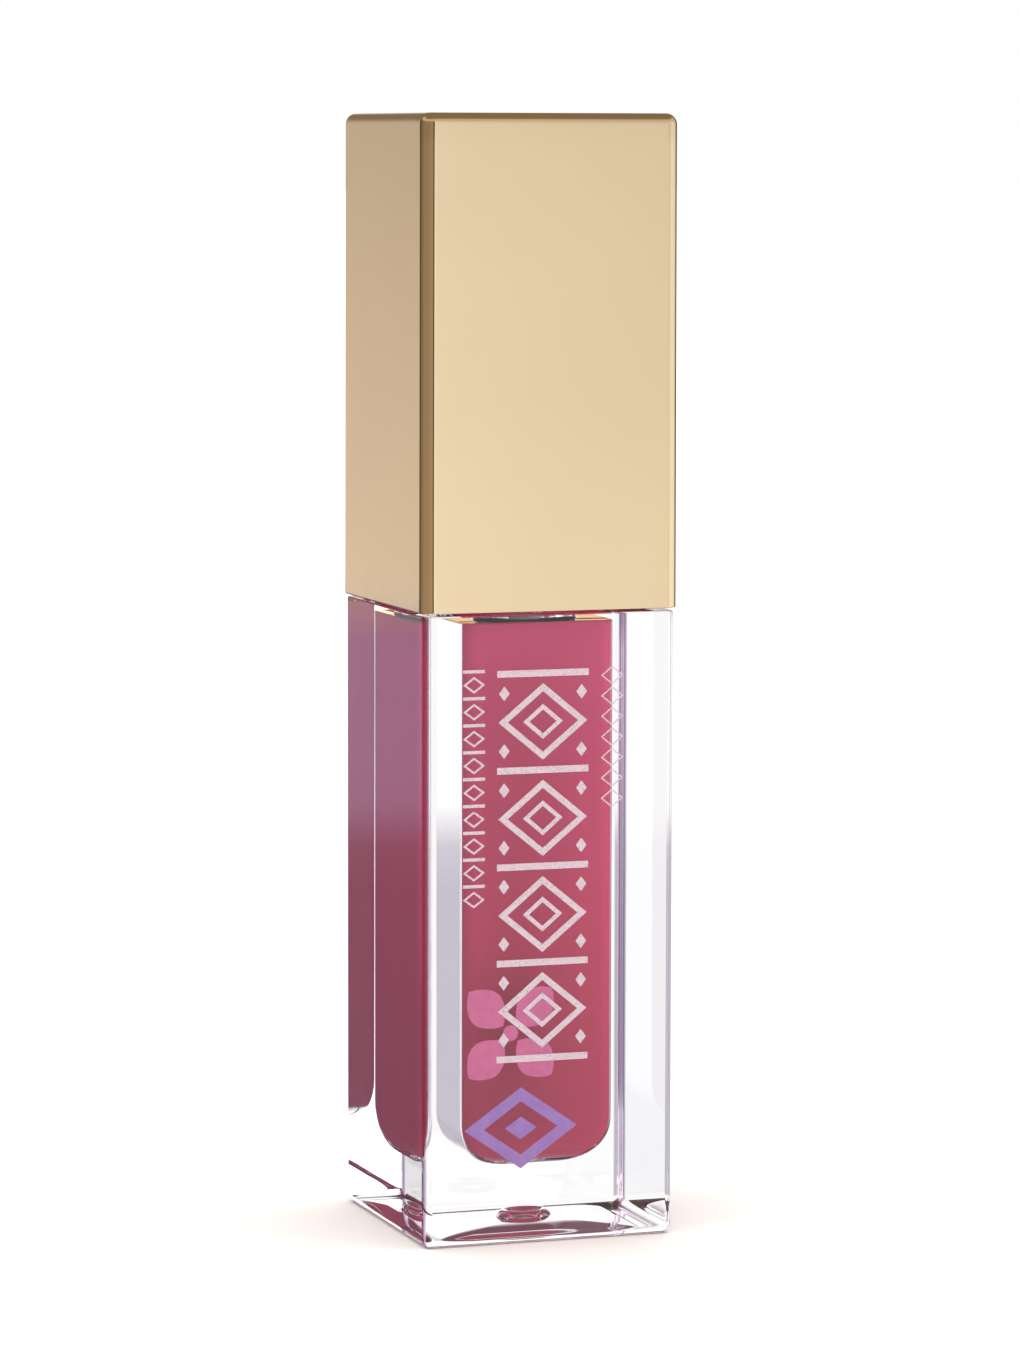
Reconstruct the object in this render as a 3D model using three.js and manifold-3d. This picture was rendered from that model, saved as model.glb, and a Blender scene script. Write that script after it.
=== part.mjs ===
// A lip gloss tube: a thick-walled square bottle with a threaded round neck, its contents, its wiper,
// and a tall square cap that carries the wand. Millimetres, +Z up, and the origin is under the middle
// of the bottle's base. The front is -Y.
import * as THREE from "three";
import { mergeVertices } from "three/addons/utils/BufferGeometryUtils.js";
import Module from "manifold-3d";

const wasm = await Module();
wasm.setup();

// ---- Driving dimensions ----

const FIT_GAP = 0.05; // between pieces that touch or slide on each other
const OVERSHOOT = 1; // how far a cutting solid runs past the face it opens

const body = { width: 19.6, height: 47, edgeRadius: 0.65, baseRadius: 0.7, shoulderRadius: 0.12 };
const cavity = { width: 11.8, floor: 5.2, roof: 46.2, edgeRadius: 1.2, floorRadius: 3.4 };
const dish = { width: 16.4, edgeRadius: 1.6, depth: 0.9 }; // the hollow under the base
const gateMark = { radius: 2.2, depth: 0.4, islandRadius: 1.2, islandDepth: 0.15 };
const neck = { rootRadius: 5.1, boreRadius: 3.95, top: body.height + 9.5, rimChamfer: 0.3 };

// Neck and cap threads share one pitch and hand. The crests pass each other with a small clearance,
// so that the cap also lifts straight off.
const thread = { pitch: 2.5, turns: 1.25, depth: 0.8, rootWidth: 1.3, crestWidth: 0.5, bite: 0.15 };
const threadStart = body.height + 2.9; // middle of the neck thread where it begins
const crestClearance = 0.12;

const cap = { mouthWidth: 20, topWidth: 19.87, bottom: 47.2, top: 83.7, edgeRadius: 0.85 };
const capSkin = { wall: 1.15, roof: 1.5, topRadius: 0.6, mouthRadius: 0.12, innerEdgeRadius: 0.5 };
const capHollow = { width: cap.mouthWidth - 2 * capSkin.wall, roof: cap.top - capSkin.roof };

const wiper = { flangeRadius: 4.75, flangeHeight: 0.8, boreRadius: 3.1, lipRadius: 1.95, bottom: 49 };
const washer = { innerRadius: 2.2, outerRadius: 6.3, thickness: 0.7 };

const rod = { radius: 1.88, bottom: 19.5, beadRadius: 2.1, beadHeight: 0.8 };
const insert = { bottom: cap.bottom + 0.5, flangeHeight: 0.9, wall: 0.9, roofHeight: 1.2 };
const socket = { wall: 1.2, depth: 8.5, beadLift: 4 };
const rib = { width: 0.9, lowerTop: 57.5, upperHeight: 5.5 };

const foot = { tip: 7.5, width: 1.45, tipThickness: 0.5, tipShift: 0.8, flock: 0.38 };
const plug = { radius: 0.85, depth: 5.6 };

const sides = 40; // facets round each large turned shape
const smallSides = 24; // facets round the wand and the wiper
const cornerSteps = 4; // facets round a rounded square's corner
const roundSteps = 4; // facets across a rounded rim
const dishSteps = 5; // facets from the dish's rim to its middle

// ---- Heights that follow from the dimensions above ----

const wiperTop = neck.top + FIT_GAP + wiper.flangeHeight;
const washerBottom = wiperTop + FIT_GAP;
const insertRoof = washerBottom + washer.thickness + FIT_GAP;
const socketFloor = insertRoof + insert.roofHeight;
const rodTop = socketFloor + socket.depth - 0.6;
const beadMiddle = socketFloor + socket.beadLift;
const insertBore = neck.rootRadius + 2 * thread.depth + crestClearance;

// ---- Geometry helpers ----

function lerp(from, to, share) {
  return from + (to - from) * share;
}

// A closed body through rings of equal length. Each ring runs anticlockwise seen from the last one.
function loft(rings) {
  const count = rings[0].length;
  const index = [];
  for (let level = 0; level + 1 < rings.length; level += 1) {
    for (let i = 0; i < count; i += 1) {
      const a = level * count + i;
      const b = level * count + ((i + 1) % count);
      index.push(a, b, b + count, a, b + count, a + count);
    }
  }
  const last = (rings.length - 1) * count;
  for (let i = 1; i + 1 < count; i += 1) {
    index.push(0, i + 1, i, last, last + i, last + i + 1);
  }
  const geometry = new THREE.BufferGeometry().setFromPoints(rings.flat());
  geometry.setIndex(index);
  return geometry;
}

function squareRing(width, radius, z) {
  const reach = width / 2 - radius;
  const ring = [];
  for (let corner = 0; corner < 4; corner += 1) {
    const start = (corner * Math.PI) / 2;
    const middle = start + Math.PI / 4;
    const cx = reach * Math.sign(Math.cos(middle));
    const cy = reach * Math.sign(Math.sin(middle));
    for (let step = 0; step <= cornerSteps; step += 1) {
      const angle = start + (step / cornerSteps) * (Math.PI / 2);
      ring.push(new THREE.Vector3(cx + radius * Math.cos(angle), cy + radius * Math.sin(angle), z));
    }
  }
  return ring;
}

// A square prism from z0 to z1 with rounded corners, its lower and upper rims rounded by their own radii.
function squarePrism({ z0, z1, width0, width1 = width0, edge, round0 = 0, round1 = 0 }) {
  const rings = [];
  const addRing = (z, inset) => {
    const width = lerp(width0, width1, (z - z0) / (z1 - z0)) - 2 * inset;
    rings.push(squareRing(width, Math.max(edge - inset, edge / 3), z));
  };
  for (let step = 0; step <= (round0 > 0 ? roundSteps : 0); step += 1) {
    const angle = (step / roundSteps) * (Math.PI / 2);
    addRing(z0 + round0 * (1 - Math.cos(angle)), round0 * (1 - Math.sin(angle)));
  }
  for (let step = round1 > 0 ? roundSteps : 0; step >= 0; step -= 1) {
    const angle = (step / roundSteps) * (Math.PI / 2);
    addRing(z1 - round1 * (1 - Math.cos(angle)), round1 * (1 - Math.sin(angle)));
  }
  return loft(rings);
}

// A turned body about Z. The profile is [radius, z] pairs that run up the outside.
function turned(profile, segments = sides) {
  const points = profile.map(([radius, z]) => new THREE.Vector2(radius, z));
  return new THREE.LatheGeometry(points, segments).rotateX(Math.PI / 2);
}

function rod3(radius, z0, z1, segments = sides) {
  return turned([[0, z0], [radius, z0], [radius, z1], [0, z1]], segments);
}

// A thread's rib on a right-hand helix. It fades in and out over an eighth of a turn at its ends.
function threadRib(rootRadius, crestRadius, startZ) {
  const steps = Math.round(sides * thread.turns);
  const fade = sides / 8;
  const rings = [];
  for (let step = 0; step <= steps; step += 1) {
    const angle = (step / sides) * 2 * Math.PI;
    const z = startZ + (step / sides) * thread.pitch;
    const share = Math.max(0.25, Math.min(1, step / fade, (steps - step) / fade));
    const crest = lerp(rootRadius, crestRadius, share);
    const section = [
      [rootRadius, z - thread.rootWidth / 2],
      [rootRadius, z + thread.rootWidth / 2],
      [crest, z + thread.crestWidth / 2],
      [crest, z - thread.crestWidth / 2],
    ];
    const ordered = crestRadius > rootRadius ? section : section.reverse();
    const across = new THREE.Vector3(Math.cos(angle), Math.sin(angle), 0);
    rings.push(ordered.map(([r, height]) => across.clone().multiplyScalar(r).setZ(height)));
  }
  return loft(rings);
}

// A three.js geometry as a solid that can be joined and cut.
function solid(geometry) {
  const bare = geometry.clone();
  bare.deleteAttribute("normal");
  bare.deleteAttribute("uv");
  const merged = mergeVertices(bare, 1e-5);
  const index = merged.getIndex().array;
  const kept = [];
  for (let i = 0; i < index.length; i += 3) {
    const [a, b, c] = [index[i], index[i + 1], index[i + 2]];
    if (a !== b && b !== c && c !== a) {
      kept.push(a, b, c);
    }
  }
  const vertProperties = new Float32Array(merged.getAttribute("position").array);
  return new wasm.Manifold(new wasm.Mesh({ numProp: 3, vertProperties, triVerts: new Uint32Array(kept) }));
}

function meshOf(name, shape, material) {
  const { vertProperties, triVerts } = shape.getMesh();
  const geometry = new THREE.BufferGeometry();
  geometry.setAttribute("position", new THREE.BufferAttribute(vertProperties, 3));
  geometry.setIndex(new THREE.BufferAttribute(triVerts, 1));
  geometry.computeVertexNormals();
  const mesh = new THREE.Mesh(geometry, material);
  mesh.name = name;
  return mesh;
}

// ---- Materials ----

const clearPlastic = new THREE.MeshStandardMaterial({
  color: 0xf4f1f2, roughness: 0.04, metalness: 0, transparent: true, opacity: 0.35,
});
const pinkGloss = new THREE.MeshStandardMaterial({ color: 0xbd6a80, roughness: 0.2, metalness: 0 });
const goldPlating = new THREE.MeshStandardMaterial({ color: 0xe2c7a2, roughness: 0.22, metalness: 1 });
const goldPlastic = new THREE.MeshStandardMaterial({ color: 0xc98f52, roughness: 0.35, metalness: 0.4 });
const whitePlastic = new THREE.MeshStandardMaterial({ color: 0xf0eeea, roughness: 0.45, metalness: 0 });
const naturalPlastic = new THREE.MeshStandardMaterial({ color: 0xe6e2dc, roughness: 0.5, metalness: 0 });
const washerFoam = new THREE.MeshStandardMaterial({ color: 0xd9d6d2, roughness: 0.8, metalness: 0 });
const flockFibre = new THREE.MeshStandardMaterial({ color: 0xf3e9ea, roughness: 0.95, metalness: 0 });

// ---- Bottle and contents ----

function cavitySolid(gap) {
  return solid(squarePrism({
    z0: cavity.floor + gap,
    z1: cavity.roof - gap,
    width0: cavity.width - 2 * gap,
    edge: cavity.edgeRadius - gap,
    round0: cavity.floorRadius,
  }));
}

// The base is hollowed, steepest at the rim, so that the bottle stands on a flat rim.
function dishSolid() {
  const rings = [squareRing(dish.width, dish.edgeRadius, -OVERSHOOT)];
  for (let step = 0; step <= dishSteps; step += 1) {
    const angle = (1 - step / dishSteps) * Math.PI / 2;
    const share = Math.max(Math.sin(angle), 0.1);
    const z = dish.depth * Math.cos(angle);
    rings.push(squareRing(dish.width * share, dish.edgeRadius * share, z));
  }
  return solid(loft(rings));
}

// The mark that moulding leaves in the middle of the base: a round recess with a raised island.
function gateSolid() {
  return solid(turned([
    [0, -OVERSHOOT],
    [gateMark.radius, -OVERSHOOT],
    [gateMark.radius, dish.depth + gateMark.depth],
    [gateMark.islandRadius, dish.depth + gateMark.depth],
    [gateMark.islandRadius, dish.depth + gateMark.islandDepth],
    [0, dish.depth + gateMark.islandDepth],
  ]));
}

function bottleSolid() {
  const block = solid(squarePrism({
    z0: 0,
    z1: body.height,
    width0: body.width,
    edge: body.edgeRadius,
    round0: body.baseRadius,
    round1: body.shoulderRadius,
  }));
  const chamfered = neck.rootRadius - neck.rimChamfer;
  const neckTube = solid(turned([
    [0, cavity.roof + 0.5],
    [neck.rootRadius, cavity.roof + 0.5],
    [neck.rootRadius, neck.top - neck.rimChamfer],
    [chamfered, neck.top],
    [0, neck.top],
  ]));
  const ribSolid = solid(threadRib(
    neck.rootRadius - thread.bite, neck.rootRadius + thread.depth, threadStart,
  ));
  const bore = solid(rod3(neck.boreRadius, cavity.roof - OVERSHOOT, neck.top + OVERSHOOT));
  const inside = cavitySolid(0).add(bore);
  return block.add(neckTube).add(ribSolid).subtract(inside).subtract(dishSolid()).subtract(gateSolid());
}

// The gloss fills the cavity round the wand, which stands in its own channel.
function glossSolid() {
  const channel = solid(rod3(rod.radius + 0.2, foot.tip - 0.6, cavity.roof + OVERSHOOT, smallSides));
  return cavitySolid(FIT_GAP).subtract(channel);
}

function wiperSolid() {
  const outer = neck.boreRadius - FIT_GAP;
  const shoulder = neck.top + FIT_GAP;
  return solid(turned([
    [wiper.lipRadius, wiper.bottom],
    [wiper.lipRadius + 0.45, wiper.bottom],
    [outer, wiper.bottom + 1.8],
    [outer, shoulder],
    [wiper.flangeRadius, shoulder],
    [wiper.flangeRadius, wiperTop],
    [wiper.boreRadius + 0.3, wiperTop],
    [wiper.boreRadius, wiperTop - 0.3],
    [wiper.boreRadius, wiper.bottom + 2.4],
    [wiper.lipRadius, wiper.bottom + 0.6],
    [wiper.lipRadius, wiper.bottom],
  ], smallSides));
}

// ---- Cap ----

function capShellSolid() {
  const outside = solid(squarePrism({
    z0: cap.bottom,
    z1: cap.top,
    width0: cap.mouthWidth,
    width1: cap.topWidth,
    edge: cap.edgeRadius,
    round0: capSkin.mouthRadius,
    round1: capSkin.topRadius,
  }));
  const hollow = solid(squarePrism({
    z0: cap.bottom - OVERSHOOT,
    z1: capHollow.roof,
    width0: capHollow.width,
    edge: capSkin.innerEdgeRadius,
    round1: capSkin.innerEdgeRadius,
  }));
  return outside.subtract(hollow);
}

// Four ribs centre the insert in the square shell.
function ribCross(z0, z1) {
  const reach = capHollow.width - 2 * FIT_GAP;
  const along = new THREE.BoxGeometry(reach, rib.width, z1 - z0).translate(0, 0, (z0 + z1) / 2);
  const across = along.clone().rotateZ(Math.PI / 2);
  return solid(along).add(solid(across));
}

// The inner cap: a square flange that closes the shell's mouth, a threaded cup for the neck, and a
// socket that holds the wand.
function capInsertSolid() {
  const flange = solid(squarePrism({
    z0: insert.bottom,
    z1: insert.bottom + insert.flangeHeight,
    width0: capHollow.width - 2 * FIT_GAP,
    edge: capSkin.innerEdgeRadius,
  }));
  const cupRadius = insertBore + insert.wall;
  const socketRadius = rod.radius + FIT_GAP + socket.wall;
  const socketTop = socketFloor + socket.depth;
  const cup = solid(turned([
    [0, insert.bottom],
    [cupRadius, insert.bottom],
    [cupRadius, socketFloor],
    [socketRadius, socketFloor],
    [socketRadius, socketTop],
    [0, socketTop],
  ]));
  const bore = solid(rod3(insertBore, insert.bottom - OVERSHOOT, insertRoof));
  const crest = insertBore - thread.depth;
  const ribStart = threadStart - thread.pitch / 2;
  const innerThread = solid(threadRib(insertBore + thread.bite, crest, ribStart + thread.crestWidth));
  const beadRoom = rod.beadRadius + FIT_GAP;
  const halfBead = rod.beadHeight / 2 + FIT_GAP;
  const hole = solid(turned([
    [0, insertRoof - OVERSHOOT],
    [rod.radius + FIT_GAP, insertRoof - OVERSHOOT],
    [rod.radius + FIT_GAP, beadMiddle - halfBead],
    [beadRoom, beadMiddle],
    [rod.radius + FIT_GAP, beadMiddle + halfBead],
    [rod.radius + FIT_GAP, rodTop + FIT_GAP],
    [0, rodTop + FIT_GAP],
  ], smallSides));
  const lowerRibs = ribCross(insert.bottom + insert.flangeHeight / 2, rib.lowerTop);
  const upperRibs = ribCross(socketFloor - insert.roofHeight / 2, socketFloor + rib.upperHeight);
  const outside = flange.add(cup).add(lowerRibs).add(upperRibs);
  return outside.subtract(bore).subtract(hole).add(innerThread);
}

function washerSolid() {
  const top = washerBottom + washer.thickness;
  return solid(turned([
    [washer.innerRadius, washerBottom],
    [washer.outerRadius, washerBottom],
    [washer.outerRadius, top],
    [washer.innerRadius, top],
    [washer.innerRadius, washerBottom],
  ]));
}

// ---- Wand ----

function wandRodSolid() {
  const halfBead = rod.beadHeight / 2;
  const stem = solid(turned([
    [0, rod.bottom],
    [rod.radius - 0.15, rod.bottom],
    [rod.radius, rod.bottom + 0.3],
    [rod.radius, beadMiddle - halfBead],
    [rod.beadRadius, beadMiddle],
    [rod.radius, beadMiddle + halfBead],
    [rod.radius, rodTop - 0.3],
    [rod.radius - 0.3, rodTop],
    [0, rodTop],
  ], smallSides));
  const plugHole = rod3(
    plug.radius + FIT_GAP, rod.bottom - OVERSHOOT, rod.bottom + plug.depth + FIT_GAP, smallSides,
  );
  return stem.subtract(solid(plugHole));
}

// The slanted foot: round where it meets the stem, and flatter and set to one side towards its tip.
// Skin is how far the surface lies outside the core's own.
function footSolid(skin, top) {
  const steps = 10;
  const rings = [];
  const tip = foot.tip + foot.flock - skin;
  for (let step = 0; step <= steps; step += 1) {
    const share = 1 - step / steps;
    const slant = THREE.MathUtils.smoothstep(share, 0.15, 1);
    const past = Math.max(0, (share - 0.82) / 0.18);
    const nose = Math.sqrt(Math.max(0.04, 1 - past * past));
    const halfWidth = foot.width * nose + skin;
    const halfDepth = lerp(foot.width, foot.tipThickness, slant) * nose + skin;
    const shift = lerp(0, foot.tipShift, slant);
    const z = lerp(top, tip, share);
    const ring = [];
    for (let i = 0; i < smallSides; i += 1) {
      const angle = (i / smallSides) * 2 * Math.PI;
      ring.push(new THREE.Vector3(halfWidth * Math.cos(angle), shift + halfDepth * Math.sin(angle), z));
    }
    rings.push(ring);
  }
  return solid(loft(rings));
}

function applicatorCoreSolid() {
  const top = rod.bottom - FIT_GAP;
  const stub = solid(rod3(plug.radius, top - OVERSHOOT, rod.bottom + plug.depth, smallSides));
  return footSolid(0, top).add(stub);
}

function flockSolid() {
  const top = rod.bottom - 3 * FIT_GAP;
  const sleeve = footSolid(foot.flock, top);
  const neckRoom = solid(rod3(foot.width + FIT_GAP, top - 0.5, top + OVERSHOOT, smallSides));
  return sleeve.subtract(footSolid(FIT_GAP, top + 2 * FIT_GAP)).subtract(neckRoom);
}

// ---- Assembly ----

const tube = new THREE.Group();
tube.name = "lip_gloss_tube";

const bottleGroup = new THREE.Group();
bottleGroup.add(meshOf("bottle", bottleSolid(), clearPlastic));
bottleGroup.add(meshOf("gloss_fill", glossSolid(), pinkGloss));
bottleGroup.add(meshOf("wiper", wiperSolid(), naturalPlastic));

const capGroup = new THREE.Group();
capGroup.add(meshOf("cap_shell", capShellSolid(), goldPlating));
capGroup.add(meshOf("cap_insert", capInsertSolid(), goldPlastic));
capGroup.add(meshOf("seal_washer", washerSolid(), washerFoam));

const wandGroup = new THREE.Group();
wandGroup.add(meshOf("wand_rod", wandRodSolid(), whitePlastic));
wandGroup.add(meshOf("applicator_core", applicatorCoreSolid(), naturalPlastic));
wandGroup.add(meshOf("applicator_flock", flockSolid(), flockFibre));
capGroup.add(wandGroup);

tube.add(bottleGroup, capGroup);

export default tube;
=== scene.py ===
"""The looks of the lip gloss tube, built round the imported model.

Lengths are in metres, +Z is up and the front is -Y. Each piece is a skin of loops that stands for one
CAD node; the ornament on the bottle's front is printed on, and has no node of its own.
"""
import math
import random

import bpy
from mathutils import Matrix, Vector


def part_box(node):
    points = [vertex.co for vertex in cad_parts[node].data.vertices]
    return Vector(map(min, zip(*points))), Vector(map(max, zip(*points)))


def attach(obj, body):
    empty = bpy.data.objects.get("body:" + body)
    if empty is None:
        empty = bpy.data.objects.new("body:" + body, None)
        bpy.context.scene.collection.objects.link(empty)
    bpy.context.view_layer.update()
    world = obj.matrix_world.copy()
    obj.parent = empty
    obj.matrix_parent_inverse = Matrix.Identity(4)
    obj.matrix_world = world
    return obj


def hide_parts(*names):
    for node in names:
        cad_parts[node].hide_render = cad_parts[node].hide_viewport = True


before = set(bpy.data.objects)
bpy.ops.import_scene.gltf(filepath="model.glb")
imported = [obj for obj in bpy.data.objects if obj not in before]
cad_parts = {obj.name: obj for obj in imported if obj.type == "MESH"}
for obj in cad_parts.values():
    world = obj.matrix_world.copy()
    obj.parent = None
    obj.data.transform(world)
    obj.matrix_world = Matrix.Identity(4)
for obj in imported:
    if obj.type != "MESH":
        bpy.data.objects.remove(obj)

MM = 0.001
TURN = 2 * math.pi
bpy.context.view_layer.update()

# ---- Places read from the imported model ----

BOTTLE_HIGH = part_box("bottle")[1]
WIPER_LOW, WIPER_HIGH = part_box("wiper")
SHELL_LOW, SHELL_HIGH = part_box("cap_shell")
INSERT_LOW, INSERT_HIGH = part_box("cap_insert")
WASHER_LOW, WASHER_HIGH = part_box("seal_washer")
ROD_LOW, ROD_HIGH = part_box("wand_rod")
CORE_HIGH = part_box("applicator_core")[1]
FLOCK_LOW, FLOCK_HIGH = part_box("applicator_flock")

# ---- Driving sizes, the same as the CAD model's but where a comment says otherwise ----

FACE = BOTTLE_HIGH[0]  # from the axis to the bottle's flat sides
NECK_TOP = BOTTLE_HIGH[2]
SHOULDER = NECK_TOP - 9.5 * MM
BOTTLE_EDGE = 0.65 * MM
BASE_RADIUS = 0.7 * MM
SHOULDER_RADIUS = 0.12 * MM
DISH_WIDTH = 16.4 * MM
DISH_EDGE = 1.6 * MM
DISH_DEPTH = 0.9 * MM
GATE_RADIUS = 2.2 * MM
GATE_ISLAND = 1.2 * MM
GATE_DEPTH = 0.4 * MM
ISLAND_LIFT = 0.15 * MM  # how much deeper in the base the gate mark's island lies than the dish's middle
DISH_ROUNDING = 0.62  # sets how far from its middle the dish's corners start to grow rounder

NECK_RADIUS = 5.1 * MM
BORE_RADIUS = 3.95 * MM
THREAD_DEPTH = 0.8 * MM
THREAD_PITCH = 2.5 * MM
THREAD_TURNS = 1.25
THREAD_START = SHOULDER + 2.9 * MM
THREAD_FOOT = 0.65 * MM  # half a rib's width where it leaves the wall
THREAD_FLANK = 0.40 * MM  # how far a rib's slope reaches from its foot to its crest
THREAD_FADE = 0.12  # the turns over which each end of the thread runs out

CAVITY_WIDTH = 11.8 * MM
CAVITY_FLOOR = 5.2 * MM
CAVITY_ROOF = SHOULDER - 0.8 * MM
CAVITY_EDGE = 1.2 * MM
CAVITY_FLOOR_RADIUS = 3.4 * MM
WET = 0.02 * MM  # how far the gloss reaches into the wall that it wets
CHANNEL_RADIUS = 2.08 * MM

SHELL_MOUTH = SHELL_LOW[2]
SHELL_TOP = SHELL_HIGH[2]
MOUTH_WIDTH = SHELL_HIGH[0] - SHELL_LOW[0]
TOP_WIDTH = MOUTH_WIDTH - 0.13 * MM
SHELL_EDGE = 1.02 * MM  # the CAD model's is 0.85 mm; this one eases into its sides
SHELL_WALL = 1.15 * MM
SHELL_ROOF = 1.5 * MM
SHELL_MOUTH_RADIUS = 0.12 * MM
TOP_RADIUS = 0.8 * MM  # softer than the CAD model's 0.6 mm
HOLLOW_WIDTH = MOUTH_WIDTH - 2 * SHELL_WALL

SEAT_GAP = 0.05 * MM  # between pieces that sit on or in each other
INSERT_BORE = NECK_RADIUS + 2 * THREAD_DEPTH + 0.12 * MM
INSERT_ROOF = WASHER_HIGH[2] + SEAT_GAP
SOCKET_FLOOR = INSERT_ROOF + 1.2 * MM
ROD_RADIUS = 1.88 * MM
BEAD_RADIUS = ROD_HIGH[0]
BEAD_MIDDLE = SOCKET_FLOOR + 4.0 * MM
BEAD_FLANK = 0.4 * MM
FOOT_RADIUS = 1.45 * MM
FOOT_TIP_DEPTH = 0.5 * MM  # half the foot's thickness at its thin end
FOOT_SLANT = 0.8 * MM  # how far the thin end stands off the axis
FLOCK_DEPTH = 0.38 * MM
PLUG_RADIUS = 0.85 * MM
FIBRES = 3600

# ---- Loops: every loop of a skin has the same number of points ----

LEAST_RADIUS = 0.01 * MM
LEAST_EDGE = 0.4  # the least share of its corner's radius that a rounded rim keeps
ARC_STEPS = 14
SIDE_POINTS = 9
LOOP = 4 * (ARC_STEPS + 1 + SIDE_POINTS)
SOFT_CORNER = 2.5  # the exponent of a corner that eases into its sides; 2 is a plain arc
SHARP_ANGLE = math.radians(50)


def square_loop(width, radius, z, exponent=2.0):
    """A rounded square, anticlockwise seen from above."""
    reach = width / 2 - radius
    arc = []
    for step in range(ARC_STEPS + 1):
        angle = step / ARC_STEPS * TURN / 4
        across = max(0.0, math.cos(angle)) ** (2 / exponent)
        along = max(0.0, math.sin(angle)) ** (2 / exponent)
        arc.append(Vector((reach + radius * across, reach + radius * along, z)))
    following = Matrix.Rotation(TURN / 4, 3, "Z") @ arc[0]
    side = [arc[-1].lerp(following, step / (SIDE_POINTS + 1)) for step in range(1, SIDE_POINTS + 1)]
    points = []
    for corner in range(4):
        turn = Matrix.Rotation(corner * TURN / 4, 3, "Z")
        points += [turn @ point for point in arc + side]
    return points


def loop_angle(i):
    """The angle of a round loop's point, which pairs with the same point of a rounded square."""
    return (TURN / 8 + (i - ARC_STEPS / 2) * TURN / LOOP) % TURN


def round_point(radius, i, z):
    angle = loop_angle(i)
    return Vector((radius * math.cos(angle), radius * math.sin(angle), z))


def round_loop(radius, z):
    return [round_point(radius, i, z) for i in range(LOOP)]


def eased(value):
    """A value held between 0 and 1, with both ends smoothed."""
    held = max(0.0, min(1.0, value))
    return held * held * (3 - 2 * held)


def thread_share(angle, z, start):
    """How much of a thread's full depth there is at an angle and height: 0 between its ribs, 1 on a crest."""
    best = 0.0
    for lap in range(-1, 3):
        along = angle / TURN + lap
        if not 0 <= along <= THREAD_TURNS:
            continue
        off = abs(z - start - along * THREAD_PITCH)
        fade = max(0.0, min(1.0, along / THREAD_FADE, (THREAD_TURNS - along) / THREAD_FADE))
        best = max(best, eased((THREAD_FOOT - off) / THREAD_FLANK) * fade)
    return best


def thread_loops(radius, depth, low, high, start):
    """Loops of a threaded wall from height low to height high; a negative depth stands inward."""
    steps = 72
    loops = []
    for step in range(steps + 1):
        z = low + (high - low) * step / steps
        reaches = [radius + depth * thread_share(loop_angle(i), z, start) for i in range(LOOP)]
        loops.append([round_point(reach, i, z) for i, reach in enumerate(reaches)])
    return loops


def rim_loops(width, edge, z, rim, rising, exponent=2.0):
    """Square loops round a rounded rim, from an end face at height z to the side wall that rises from it."""
    steps = 8
    loops = []
    for step in range(steps + 1):
        angle = step / steps * TURN / 4
        inset = rim * (1 - math.sin(angle))
        lift = rim * (1 - math.cos(angle))
        height = z + lift if rising else z - lift
        loops.append(square_loop(width - 2 * inset, max(edge - inset, edge * LEAST_EDGE), height, exponent))
    return loops


def wall_loops(width_low, width_high, edge, low, high, steps, exponent=2.0):
    """Square loops between two heights, without the two ends."""
    loops = []
    for step in range(1, steps):
        share = step / steps
        width = width_low + (width_high - width_low) * share
        loops.append(square_loop(width, edge, low + (high - low) * share, exponent))
    return loops


def profile_loops(corners):
    """Round loops along a profile of (radius, height, fillet) corners, each rounded by its fillet."""
    steps = 5
    path = []
    for i, (radius, z, fillet) in enumerate(corners):
        here = Vector((radius, z))
        if fillet == 0 or i == 0 or i == len(corners) - 1:
            path.append(here)
            continue
        before = (Vector(corners[i - 1][:2]) - here).normalized()
        after = (Vector(corners[i + 1][:2]) - here).normalized()
        start = here + before * fillet
        end = here + after * fillet
        for step in range(steps + 1):
            share = step / steps
            path.append(start.lerp(here, share).lerp(here.lerp(end, share), share))
    return [round_loop(max(radius, LEAST_RADIUS), z) for radius, z in path]


def fan(points, ring, facing_back):
    """Triangles that close a ring of point numbers from its middle, which is added to the points."""
    ring = list(ring)
    points.append(sum((points[i] for i in ring), Vector()) / len(ring))
    hub = len(points) - 1
    triangles = []
    for place, i in enumerate(ring):
        after = ring[(place + 1) % len(ring)]
        triangles.append((hub, after, i) if facing_back else (hub, i, after))
    return triangles


def skin_faces(loops):
    """Points and faces of a closed skin through the loops, with its two ends closed from their middles."""
    count = len(loops[0])
    points = [point for loop in loops for point in loop]
    faces = []
    for low in range(len(loops) - 1):
        for i in range(count):
            after = (i + 1) % count
            near = low * count
            far = near + count
            faces.append((near + i, near + after, far + after, far + i))
    faces += fan(points, range(count), True)
    faces += fan(points, range((len(loops) - 1) * count, len(loops) * count), False)
    return points, faces


def ring_faces(loops):
    """Points and faces of a ring-shaped skin, whose last loop joins its first."""
    count = len(loops[0])
    points = [point for loop in loops for point in loop]
    faces = []
    for low in range(len(loops)):
        far = (low + 1) % len(loops) * count
        for i in range(count):
            after = (i + 1) % count
            faces.append((low * count + i, low * count + after, far + after, far + i))
    return points, faces


def mesh_piece(name, points, faces):
    """An object with smooth faces but for its sharp edges. Its large flat faces stay flat in the light."""
    mesh = bpy.data.meshes.new(name)
    mesh.from_pydata([tuple(point) for point in points], [], faces)
    mesh.update()
    for polygon in mesh.polygons:
        polygon.use_smooth = True
    mesh.set_sharp_from_angle(angle=SHARP_ANGLE)
    piece = bpy.data.objects.new(name, mesh)
    bpy.context.scene.collection.objects.link(piece)
    flat = piece.modifiers.new("flat_faces", "WEIGHTED_NORMAL")
    flat.mode = "FACE_AREA"
    flat.weight = 100
    flat.keep_sharp = True
    return piece


def skin(name, loops):
    """A closed skin as an object."""
    return mesh_piece(name, *skin_faces(loops))


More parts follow.
